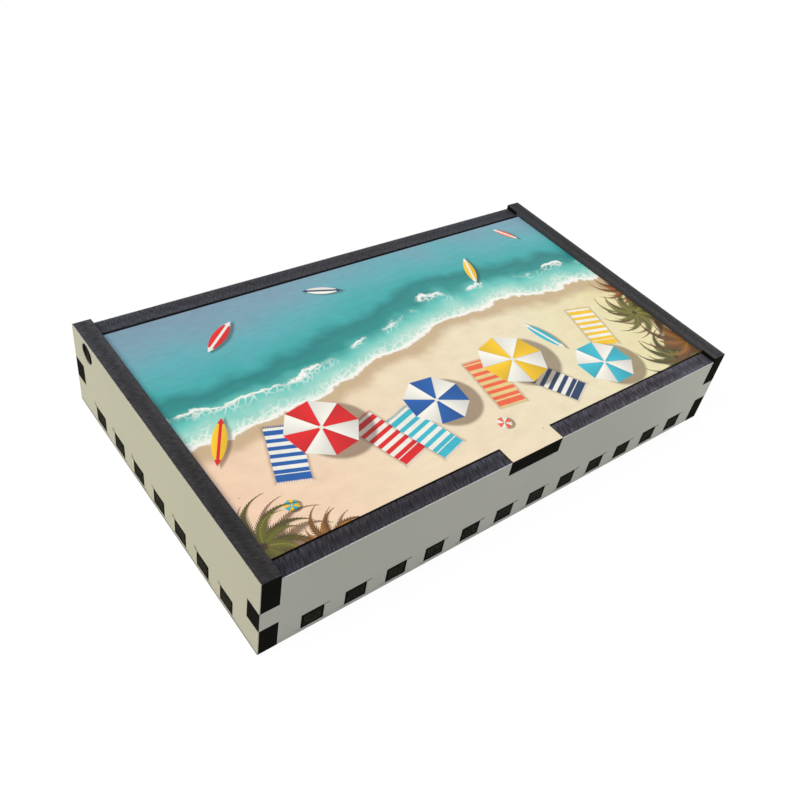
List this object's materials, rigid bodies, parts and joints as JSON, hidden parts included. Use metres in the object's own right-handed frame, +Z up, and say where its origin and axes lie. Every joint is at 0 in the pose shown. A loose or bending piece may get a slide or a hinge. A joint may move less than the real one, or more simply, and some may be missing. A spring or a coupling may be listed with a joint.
{
  "type": "domino gift box",
  "caption": "Flat laser-cut board box with finger joints and a printed lid that turns on its own ears, holding a set of dominoes.",
  "frame": {"origin": "middle of the footprint, on the surface that the box stands on", "axes": "+X along the box's length, towards its right end; +Y from the tongue side to the hinge side; +Z up"},
  "size_m": [0.1902, 0.1132, 0.031],
  "materials": {
    "wall_board": "satin coat outside, charred cut edges",
    "base_board": "matt black-dyed fibreboard",
    "lid_board": "satin print on top, charred cut edges",
    "tile_board": "satin coat with engraved black pips"
  },
  "bodies": {
    "tray": {"base_panel": "base_board", "front_wall": "wall_board", "back_wall": "wall_board", "left_wall": "wall_board", "right_wall": "wall_board", "tile_0_0": "tile_board", "tile_0_1": "tile_board", "tile_0_2": "tile_board", "tile_0_3": "tile_board", "tile_0_4": "tile_board", "tile_0_5": "tile_board", "tile_0_6": "tile_board", "tile_1_1": "tile_board", "tile_1_2": "tile_board", "tile_1_3": "tile_board", "tile_1_4": "tile_board", "tile_1_5": "tile_board", "tile_1_6": "tile_board", "tile_2_2": "tile_board", "tile_2_3": "tile_board", "tile_2_4": "tile_board", "tile_2_5": "tile_board", "tile_2_6": "tile_board", "tile_3_3": "tile_board", "tile_3_4": "tile_board", "tile_3_5": "tile_board", "tile_3_6": "tile_board", "tile_4_4": "tile_board", "tile_4_5": "tile_board", "tile_4_6": "tile_board", "tile_5_5": "tile_board", "tile_5_6": "tile_board", "tile_6_6": "tile_board"},
    "lid": {"lid": "lid_board"}
  },
  "joints": [
    {"name": "lid_hinge", "type": "hinge", "parent": "tray", "child": "lid", "pos_m": [0, 0.0462, 0.0267], "axis": [-1, 0, 0], "range_deg": [0, 110]}
  ]
}
